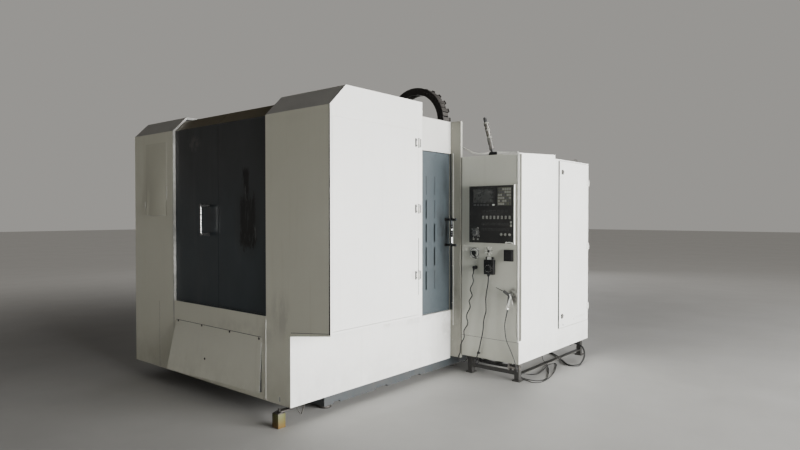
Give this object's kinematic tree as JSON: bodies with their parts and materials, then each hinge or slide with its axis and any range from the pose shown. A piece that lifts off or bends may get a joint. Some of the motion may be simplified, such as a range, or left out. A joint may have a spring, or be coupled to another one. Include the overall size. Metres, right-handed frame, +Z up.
{
  "type": "horizontal machining centre",
  "caption": "Enclosed horizontal machining centre with a sliding front door, a vented side door, a pallet changer, a tool magazine and a control cabinet.",
  "frame": {"origin": "middle of the machine footprint on the floor, measured without the cords", "axes": "+X to the right along the front face, +Y from the front face to the back, +Z up"},
  "size_m": [3.3649, 3.832, 3.0149],
  "materials": {
    "white_paint": "powder coated, slightly worn",
    "cream_paint": "satin",
    "blue_grey_paint": "satin",
    "dark_paint": "gloss with greasy marks",
    "green_grey_paint": "matt",
    "cast_blue_grey": "painted casting",
    "foot_yellow": "worn paint and bare steel",
    "inner_steel": "brushed",
    "bare_steel": "machined",
    "chrome_bar": "polished",
    "panel_black": "matt",
    "black_plastic": "satin",
    "chain_black": "satin",
    "key_grey": "matt",
    "button_white": "gloss",
    "screen_glass": "dark screen",
    "tower_grey": "satin",
    "lens_amber": "dusty lenses",
    "cable_black": "matt",
    "conduit_grey": "matt"
  },
  "bodies": {
    "frame": {"machine_base": "cast_blue_grey", "levelling_feet": "foot_yellow", "left_bay_shell": "white_paint", "right_bay_shell": "white_paint", "lower_front_panel": "white_paint", "front_cover_plate": "white_paint", "right_wall_panel": "white_paint", "roof_panel": "white_paint", "corner_strip": "cream_paint", "chamber_liner": "inner_steel", "door_rails": "bare_steel", "column": "cream_paint", "chain_guide": "green_grey_paint", "magazine_housing": "white_paint", "coolant_tank": "cast_blue_grey", "changer_post": "cast_blue_grey", "cabinet_shell": "white_paint", "cnc_bezel": "panel_black", "display_screen": "screen_glass", "membrane_keys": "key_grey", "switch_plate": "key_grey", "outlet_cover": "black_plastic", "pendant_case": "black_plastic", "air_gun_body": "black_plastic", "signal_tower": "tower_grey", "signal_lenses": "lens_amber", "hinge_pins": "bare_steel", "pendant_cable": "cable_black", "wavy_cord": "cable_black", "cord_plug": "black_plastic", "air_hose": "cable_black", "tower_conduit": "conduit_grey", "floor_hose": "cable_black", "floor_cable": "cable_black"},
    "left_leaf": {"front_door_left": "dark_paint", "front_door_handle": "chrome_bar"},
    "right_leaf": {"front_door_right": "dark_paint"},
    "access_door": {"side_access_door": "white_paint"},
    "sliding_door": {"side_sliding_door": "blue_grey_paint", "side_door_handle": "chrome_bar"},
    "cabinet_leaf": {"cabinet_door": "white_paint"},
    "lock_high": {"upper_lock": "chrome_bar"},
    "lock_low": {"lower_lock": "chrome_bar"},
    "saddle_body": {"saddle": "cast_blue_grey"},
    "table_body": {"table_slide": "cast_blue_grey"},
    "rotary_body": {"rotary_table": "bare_steel"},
    "lift_body": {"changer_lift": "bare_steel"},
    "changer_body": {"pallet_changer": "cast_blue_grey", "pallets": "bare_steel"},
    "head_body": {"spindle_head": "cream_paint"},
    "spindle_body": {"spindle": "bare_steel"},
    "chain_body": {"drag_chain": "chain_black"},
    "wheel_body": {"magazine_wheel": "bare_steel"},
    "dial_body": {"override_dial": "key_grey"},
    "switch_body": {"main_switch": "black_plastic"},
    "start_body": {"cycle_start_button": "button_white"},
    "hold_body": {"feed_hold_button": "button_white"},
    "stop_body": {"program_stop_button": "button_white"},
    "handwheel_body": {"handwheel": "panel_black"},
    "trigger_body": {"air_gun_trigger": "bare_steel"}
  },
  "joints": [
    {"name": "front_door_left_slide", "type": "slide", "parent": "frame", "child": "left_leaf", "axis": [-1, 0, 0], "range_m": [0, 0.51]},
    {"name": "front_door_right_slide", "type": "slide", "parent": "frame", "child": "right_leaf", "axis": [1, 0, 0], "range_m": [0, 0.51]},
    {"name": "access_door_hinge", "type": "hinge", "parent": "frame", "child": "access_door", "pos_m": [1.2585, -0.791, 1.65], "axis": [0, 0, 1], "range_deg": [0, 110]},
    {"name": "side_door_slide", "type": "slide", "parent": "frame", "child": "sliding_door", "axis": [0, -1, 0], "range_m": [0, 0.86]},
    {"name": "cabinet_door_hinge", "type": "hinge", "parent": "frame", "child": "cabinet_leaf", "pos_m": [1.6035, 1.911, 1.24], "axis": [0, 0, 1], "range_deg": [0, 120]},
    {"name": "upper_lock_turn", "type": "hinge", "parent": "cabinet_leaf", "child": "lock_high", "pos_m": [1.5985, 1.237, 2.05], "axis": [1, 0, 0], "range_deg": [0, 90]},
    {"name": "lower_lock_turn", "type": "hinge", "parent": "cabinet_leaf", "child": "lock_low", "pos_m": [1.5985, 1.237, 0.522], "axis": [1, 0, 0], "range_deg": [0, 90]},
    {"name": "z_axis", "type": "slide", "parent": "frame", "child": "saddle_body", "axis": [0, 1, 0], "range_m": [-0.1, 0.41]},
    {"name": "x_axis", "type": "slide", "parent": "saddle_body", "child": "table_body", "axis": [1, 0, 0], "range_m": [-0.4, 0.4]},
    {"name": "b_axis", "type": "hinge", "parent": "table_body", "child": "rotary_body", "pos_m": [-0.1785, -0.188, 0.85], "axis": [0, 0, 1], "continuous": true},
    {"name": "changer_lift_slide", "type": "slide", "parent": "frame", "child": "lift_body", "axis": [0, 0, -1], "range_m": [0, 0.058]},
    {"name": "changer_swing", "type": "hinge", "parent": "lift_body", "child": "changer_body", "pos_m": [-0.1785, -0.738, 0.94], "axis": [0, 0, 1], "range_deg": [0, 180]},
    {"name": "y_axis", "type": "slide", "parent": "frame", "child": "head_body", "axis": [0, 0, 1], "range_m": [-0.25, 0.45]},
    {"name": "spindle_turn", "type": "hinge", "parent": "head_body", "child": "spindle_body", "pos_m": [-0.1785, 0.502, 1.3], "axis": [0, 1, 0], "continuous": true},
    {"name": "chain_slide", "type": "slide", "parent": "frame", "child": "chain_body", "axis": [0, 0, 1], "range_m": [-0.125, 0.225]},
    {"name": "magazine_turn", "type": "hinge", "parent": "frame", "child": "wheel_body", "pos_m": [-1.1385, 0.622, 1.75], "axis": [0, 1, 0], "continuous": true},
    {"name": "override_dial_turn", "type": "hinge", "parent": "frame", "child": "dial_body", "pos_m": [1.1415, 0.252, 1.425], "axis": [0, -1, 0], "range_deg": [-150, 150]},
    {"name": "main_switch_turn", "type": "hinge", "parent": "frame", "child": "switch_body", "pos_m": [1.1055, 0.282, 1.222], "axis": [0, -1, 0], "range_deg": [0, 90]},
    {"name": "cycle_start_press", "type": "slide", "parent": "frame", "child": "start_body", "axis": [0, 1, 0], "range_m": [0, 0.004], "stiffness_N_per_m": 300, "springref_m": -0.002},
    {"name": "feed_hold_press", "type": "slide", "parent": "frame", "child": "hold_body", "axis": [0, 1, 0], "range_m": [0, 0.004], "stiffness_N_per_m": 300, "springref_m": -0.002},
    {"name": "program_stop_press", "type": "slide", "parent": "frame", "child": "stop_body", "axis": [0, 1, 0], "range_m": [0, 0.004], "stiffness_N_per_m": 300, "springref_m": -0.002},
    {"name": "handwheel_turn", "type": "hinge", "parent": "frame", "child": "handwheel_body", "pos_m": [1.2915, 0.247, 1.08], "axis": [0, -1, 0], "continuous": true},
    {"name": "trigger_pull", "type": "hinge", "parent": "frame", "child": "trigger_body", "pos_m": [1.5275, 0.266, 0.848], "axis": [0, 1, 0], "range_deg": [0, 12], "stiffness_Nm_per_rad": 0.3, "springref_deg": -6.88}
  ],
  "couplings": [
    {"joint": "front_door_right_slide", "follows": "front_door_left_slide", "ratio": 1},
    {"joint": "chain_slide", "follows": "y_axis", "ratio": 0.5}
  ]
}
